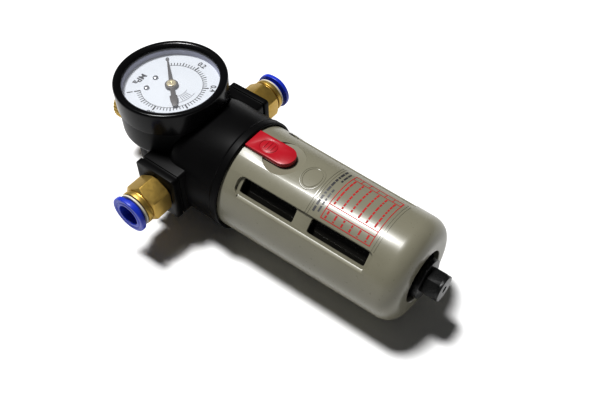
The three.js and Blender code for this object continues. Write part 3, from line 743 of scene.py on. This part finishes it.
def wrapped(x0, x1, t0, t1, lift=0.01, thick=0.05, steps=None):
    """A thin patch on the guard from x0 to x1 and from angle t0 to t1, in degrees towards -Y."""
    around = steps or max(1, int(abs(t1 - t0) / PATCH_DEGREES))
    length = max(1, int(abs(x1 - x0) / PATCH_STEP))
    bm = bmesh.new()
    grid = []
    for layer in (lift, lift + thick):
        rows = []
        for i in range(length + 1):
            x = x0 + (x1 - x0) * i / length
            r = guard_radius(x) + layer
            angles = [math.radians(t0 + (t1 - t0) * k / around) for k in range(around + 1)]
            rows.append([bm.verts.new((x, -r * math.sin(t), r * math.cos(t))) for t in angles])
        grid.append(rows)
    low, high = grid
    for i in range(length):
        for k in range(around):
            bm.faces.new([low[i][k], low[i][k + 1], low[i + 1][k + 1], low[i + 1][k]])
            bm.faces.new([high[i][k], high[i][k + 1], high[i + 1][k + 1], high[i + 1][k]])
    for i in range(length):
        for k in (0, around):
            bm.faces.new([low[i][k], low[i + 1][k], high[i + 1][k], high[i][k]])
    for k in range(around):
        for i in (0, length):
            bm.faces.new([low[i][k], low[i][k + 1], high[i][k + 1], high[i][k]])
    bmesh.ops.recalc_face_normals(bm, faces=bm.faces)
    return bm


random.seed(27)
# Raised border lines of the printed panel.
BORDERS = (57.0, 58.0, 83.6, 84.6)
borders = [wrapped(x, x + 0.3, -30, 37, 0.0, 0.14) for x in BORDERS]
piece("panel_borders", merged(borders), "guard", "guard")


def dashes(x, t0, t1, thick):
    """A row of short bars of mixed length, standing in for a line of print."""
    out, t = [], t0
    while t < t1:
        run = min(random.uniform(2.2, 6.5), t1 - t)
        if run > 0.8:
            out.append(wrapped(x, x + thick, t, t + run))
        t += run + random.uniform(0.9, 1.7)
    return out


# Rows of dark print: place along the guard, first and last angle, height of the bars.
DARK_ROWS = ((59.2, -27, 33, 0.8), (61.0, -26, -8, 0.65), (61.0, 4, 31, 0.65))
dark = [bar for row in DARK_ROWS for bar in dashes(*row)]
piece("panel_print_dark", merged(dark), "ink", "guard")

# The red table: its ends along the guard, the angles of its long lines, and rows of print.
TABLE_X, TABLE_LINES = (63.0, 82.4), (-28, -21, 18.5, 24, 34)
TABLE_ROWS, ROW_STEP, LINE = 6, 3.2, 0.28
red = [wrapped(x, x + LINE, TABLE_LINES[0], TABLE_LINES[-1]) for x in TABLE_X]
for t in TABLE_LINES:
    red.append(wrapped(TABLE_X[0], TABLE_X[1] + LINE, t - 0.4, t + 0.4, steps=1))
for k in range(TABLE_ROWS):
    x = TABLE_X[0] + 1.3 + ROW_STEP * k
    red += dashes(x, -19.5, 17.0, 0.62) + dashes(x, 25.2, 32.8, 0.62)
    red.append(wrapped(x + 1.9, x + 2.15, -28, -21))
piece("panel_print_red", merged(red), "red_ink", "guard")


OVAL_X, OVAL_TURN, OVAL_HEIGHT = 52.3, 0.07, 0.16


def oval_ring(x, half_x, half_t, width):
    """A thin raised oval on the guard's top."""
    bm = bmesh.new()
    count, sides, rings = 72, 8, []
    for i in range(count):
        t = 2 * math.pi * i / count
        ring = []
        for k in range(sides):
            b = 2 * math.pi * k / sides
            grow = width * math.cos(b)
            px = x + (half_x + grow) * math.cos(t)
            pa = (half_t + grow) * math.sin(t) / ROOT
            r = guard_radius(px) + OVAL_HEIGHT * math.sin(b)
            ring.append(bm.verts.new((px, -r * math.sin(pa + OVAL_TURN), r * math.cos(pa + OVAL_TURN))))
        rings.append(ring)
    for first, second in zip(rings, rings[1:] + rings[:1]):
        for k in range(sides):
            bm.faces.new([first[k], first[k - 1], second[k - 1], second[k]])
    bmesh.ops.recalc_face_normals(bm, faces=bm.faces)
    return bm


ovals = [oval_ring(OVAL_X, 4.0, 5.2, 0.28), oval_ring(OVAL_X, 3.2, 4.3, 0.14)]
piece("oval_emboss", merged(ovals), "guard", "guard")


# ---------------------------------------------------------------- latch
GRIP_LOW, GRIP_TOP, GRIP_MIDDLE = 19.8, 21.5, 32.2
BAR_LOW, BAR_TOP = 21.4, 21.68
GRIP_BARS = ((30.4, 1.6), (31.9, 2.0), (33.4, 1.6))


def rounded_tab(back, front, half):
    """A strip in plan with one round end."""
    arc = [math.radians(12 * i) for i in range(1, 15)]
    return [(back, -half), (front - half, -half),
            *[(front - half + half * math.sin(t), -half * math.cos(t)) for t in arc],
            (front - half, half), (back, half)]


def on_grip(a, u, v):
    """Stretches round shapes into ovals on the grip."""
    return Vector((GRIP_MIDDLE + 1.15 * u, v, a))


def latch():
    grip = prism(rounded_tab(24.7, 43.2, 4.35), GRIP_LOW, GRIP_TOP, upright)
    tip = prism(rectangle(22.4, 26, -3.5, 3.5), GRIP_LOW, 20.7, upright)
    foot = prism(rectangle(27.7, 40.2, -5.2, 5.2), 16.9, 17.5, upright)
    neck = prism(rectangle(28.7, 38.2, -2.6, 2.6), 17.3, 20, upright)
    groove = lathe([(21.25, 2.75), (21.25, 3.1), (23, 3.1), (23, 2.75)], on_grip, 48)
    return combine(combine(grip, [tip, foot, neck], "UNION"), [groove])


piece("latch_slider", latch(), "latch", "latch", ["latch_button"], edge=0.3)
grip_bars = [prism(rectangle(x, x + 0.5, -half, half, 0.1), BAR_LOW, BAR_TOP, upright)
             for x, half in GRIP_BARS]
piece("latch_grip_bars", merged(grip_bars), "latch", "latch", edge=0.1)


# ---------------------------------------------------------------- bowl, element and drain
piece("bowl_wall", lathe([
    (12.4, 14.2), (12.4, 17.25, 0.3), (14.5, 17.25, 0.2), (14.5, 16.2), (93, 16.2, 6), (93, 9.4, 0.4),
    (95.6, 9.4, 0.3), (95.6, 4.2), (91.4, 4.2), (91.4, 14.2, 4.6),
], sides=96, steps=8), "bowl", "guard", ["bowl"])
piece("element_tube", lathe([
    (18.7, 6), (18.7, 9.5, 0.3), (50, 9.5, 0.3), (50, 6),
], sides=72), "bronze", "body", ["filter_element"])
piece("baffle_cone", lathe([
    (50.3, 2.1), (50.3, 12.2, 0.2), (51.4, 12.8, 0.3), (52.2, 12.2, 0.3), (53, 5, 0.6), (57, 4, 0.3),
    (57, 2.1),
], sides=72), "plastic", "body", ["element_baffle"])
piece("drain_nut", lathe([
    (88.6, 1.3), (88.6, 6.2, 0.3), (91, 6.2, 0.2), (91, 3.9), (97.5, 3.9), (97.5, 7.1, 0.2),
    (98.3, 7.6, 0.3), (100.2, 7.6, 0.3), (100.2, 1.3),
], sides=64), "plastic", "guard", ["drain_body"])


DRAIN_FLATS, DRAIN_BORE = 9.5, 1.3


def drain_knob():
    low, high = cad("drain_knob")
    grip = prism(hexagon(DRAIN_FLATS, math.pi / 6), low.x, high.x - 1.2, along_x)
    disc = lathe([
        (high.x - 1.4, 0), (high.x - 1.4, 4.9, 0.2), (high.x, 4.9, 0.3), (high.x, 0),
    ], sides=48)
    return combine(combine(grip, [disc], "UNION"), [rod(low.x - 1, high.x + 1, DRAIN_BORE)])


piece("drain_hex", drain_knob(), "plastic", "drain", ["drain_knob"], edge=0.22)


# ---------------------------------------------------------------- push-in fittings
HEX_FLATS, HEX_BACK, HEX_FRONT = 14, 0.3, 8.8
STEM_DEPTH, STEM_RADIUS = 9, 6.1


def fitting_body(place):
    """A chamfered hexagon with a turned ring outside it and a stem in the port."""
    envelope = lathe([
        (HEX_BACK, 0), (HEX_BACK, 7.4), (0.9, 8.2), (7.7, 8.2), (HEX_FRONT, 6.9), (HEX_FRONT, 0),
    ], place, 96)
    nut = combine(prism(hexagon(HEX_FLATS), HEX_BACK, HEX_FRONT, place), [envelope], "INTERSECT")
    ring = lathe([
        (8.2, 0), (8.2, 6.2), (9.5, 6.2, 0.15), (9.5, 6.9, 0.25), (11.2, 6.9, 0.3), (11.2, 0),
    ], place, 96)
    stem = rod(-STEM_DEPTH, 0.6, STEM_RADIUS, place, 48)
    solid = combine(nut, [ring, stem], "UNION")
    bores = lathe([
        (-10, 0), (-10, 3), (-1.5, 3), (-1.5, 4.2), (1.6, 4.2), (1.6, 5.5), (3.7, 5.5), (3.7, 4.2),
        (4.2, 4.2), (4.2, 5.6), (20, 5.6), (20, 0),
    ], place, 64)
    return combine(solid, [bores])


COLLAR_HOLLOW = 0.22


def collar_flats(a, r, t):
    """Slight hollows on two sides of the collar's rim."""
    return -COLLAR_HOLLOW * max(0, math.cos(2 * t)) ** 4 if r > 7 else 0


for side, name in ((-1, "left"), (1, "right")):
    outward = along_y(side)
    piece("fitting_%s" % name, fitting_body(outward), "brass", "body", ["fitting_body_%s" % name],
          edge=0.16)
    piece("ring_%s" % name, lathe([
        (11.5, 5.6), (11.5, 6.7, 0.2), (12.3, 6.7, 0.2), (12.3, 5.6),
    ], outward, 72), "pale", "body", ["retaining_ring_%s" % name])
    piece("collar_%s" % name, lathe([
        (9.4, 4.3), (9.4, 5.2, 0.1), (13.5, 5.2), (13.5, 7.5, 0.35), (15.3, 7.5, 0.5), (15.3, 6.2, 0.2),
        (15.0, 5.7, 0.2), (15.3, 5.2, 0.2), (15.3, 4.3, 0.3),
    ], outward, 96, wobble=collar_flats), "blue", "collar_%s" % name, ["release_collar_%s" % name])


# ---------------------------------------------------------------- finishes of the inner CAD nodes
INNER = {
    "brass_inner": ["spring_seat", "piston", "valve_stem", "valve_guide", "bourdon_tube", "gauge_movement",
                    "gauge_socket"],
    "steel": ["adjusting_screw", "main_spring", "valve_spring", "latch_spring", "element_stud",
              "collet_left", "collet_right"],
    "rubber": ["piston_seal", "valve_disc", "bowl_seal", "drain_seal", "tube_seal_left", "tube_seal_right"],
    "plastic": ["deflector"],
}
for finish, names in INNER.items():
    for node in names:
        frame["nodes"][node].data.materials.clear()
        frame["nodes"][node].data.materials.append(FINISHES[finish])


# ---------------------------------------------------------------- floor, light and camera
FLOOR_HALF, FLOOR_GAP = 60000, 0.02
SUN_ENERGY, SUN_ANGLE, SUN_DIRECTION = 3.9, math.radians(11), Vector((0.30, 0.01, -0.95))
WORLD_STRENGTH, GAMMA = 0.07, 0.84


def floor():
    bm = bmesh.new()
    bmesh.ops.create_grid(bm, x_segments=2, y_segments=2, size=FLOOR_HALF)
    bmesh.ops.translate(bm, verts=bm.verts, vec=(0, 0, PAD_Z - FLOOR_GAP))
    made = temporary(bm)
    made.name = "floor"
    made.data.transform(Matrix.Translation(ORIGIN) @ Matrix.Scale(MM, 4))
    material, tree, shader = new_material("floor_white", (0.9, 0.9, 0.9), 0.7)
    drift = tint(tree, noise(tree, 6), (0.89, 0.89, 0.89), (0.91, 0.91, 0.91))
    tree.links.new(drift, shader.inputs["Base Color"])
    made.data.materials.append(material)


floor()


def area_light(name, where, target, width, height, power):
    light = bpy.data.lights.new(name, "AREA")
    light.shape = "RECTANGLE"
    light.size, light.size_y = width, height
    light.energy = power
    made = bpy.data.objects.new(name, light)
    bpy.context.scene.collection.objects.link(made)
    made.location = where
    direction = Vector(target) - Vector(where)
    made.rotation_euler = direction.to_track_quat("-Z", "Y").to_euler()


area_light("strip", where=(-0.10, 0.02, 0.52), target=(0.06, 0, 0.03), width=0.05, height=0.09, power=0.45)
sun = bpy.data.lights.new("key", "SUN")
sun.energy = SUN_ENERGY
sun.angle = SUN_ANGLE
key = bpy.data.objects.new("key", sun)
bpy.context.scene.collection.objects.link(key)
key.rotation_euler = SUN_DIRECTION.to_track_quat("-Z", "Y").to_euler()

world = bpy.data.worlds.new("studio")
bpy.context.scene.world = world
world.use_nodes = True
world.node_tree.nodes["Background"].inputs["Color"].default_value = (1, 1, 1, 1)
world.node_tree.nodes["Background"].inputs["Strength"].default_value = WORLD_STRENGTH
bpy.context.scene.view_settings.view_transform = "Standard"
bpy.context.scene.view_settings.gamma = GAMMA

# The camera stands at a fixed distance from the crossing of the axes, turned, tilted and slightly rolled.
AZIMUTH, ELEVATION, ROLL = math.radians(37.82), math.radians(50.54), math.radians(-0.19)
DISTANCE, FOCAL = 295.88, 761.83
OFFSET = (-36.17, 20.28)
IMAGE_WIDTH, SENSOR = 600, 36.0
level = math.cos(ELEVATION)
back = Vector((math.sin(AZIMUTH) * level, -math.cos(AZIMUTH) * level, math.sin(ELEVATION)))
right = Vector((math.cos(AZIMUTH), math.sin(AZIMUTH), 0))
up = back.cross(right)
rolled_right = math.cos(ROLL) * right + math.sin(ROLL) * up
rolled_up = math.cos(ROLL) * up - math.sin(ROLL) * right
camera = bpy.data.cameras.new("camera")
camera.sensor_width = SENSOR
camera.lens = FOCAL / IMAGE_WIDTH * SENSOR
camera.clip_start = 0.01
eye = bpy.data.objects.new("camera", camera)
bpy.context.scene.collection.objects.link(eye)
spot = (-OFFSET[0] * rolled_right - OFFSET[1] * rolled_up + DISTANCE * back) * MM + ORIGIN
eye.matrix_world = Matrix((
    (rolled_right.x, rolled_up.x, back.x, spot.x),
    (rolled_right.y, rolled_up.y, back.y, spot.y),
    (rolled_right.z, rolled_up.z, back.z, spot.z),
    (0, 0, 0, 1),
))
bpy.context.scene.camera = eye
